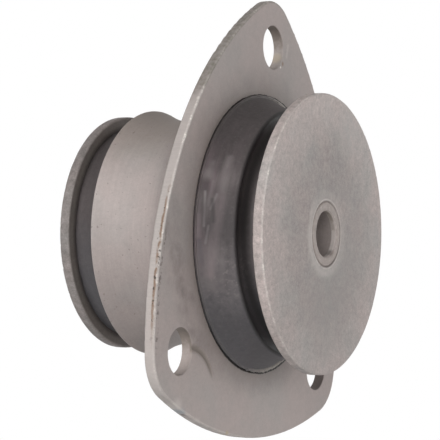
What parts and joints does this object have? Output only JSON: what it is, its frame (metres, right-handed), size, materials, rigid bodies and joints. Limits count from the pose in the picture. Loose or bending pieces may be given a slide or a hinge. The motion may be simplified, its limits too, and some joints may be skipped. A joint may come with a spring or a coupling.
{
  "type": "cab bump stop",
  "caption": "Rubber bump stop bonded between a pressed triangular flange with an hourglass shell and a central steel sleeve with end discs; carries and cushions a vehicle cab.",
  "frame": {"origin": "on the axis of the bolt bore, where it crosses the flange's front face", "axes": "+X along the bolt bore towards the larger disc, +Z from the bore towards the single hole in the flange's apex, +Y across, so that the two lower holes lie at -Y and +Y"},
  "size_m": [0.088, 0.1486, 0.1658],
  "materials": {
    "flange_steel": "matt grey phosphate over pressed steel",
    "moulded_rubber": "matt moulded rubber with pale smudges",
    "front_disc_steel": "matt grey blasted steel",
    "rear_disc_steel": "matt grey blasted steel",
    "sleeve_steel": "dull turned steel"
  },
  "bodies": {
    "root": {"mounting_flange": "flange_steel", "rubber_body": "moulded_rubber", "front_disc": "front_disc_steel", "rear_disc": "rear_disc_steel", "inner_sleeve": "sleeve_steel"}
  },
  "joints": []
}
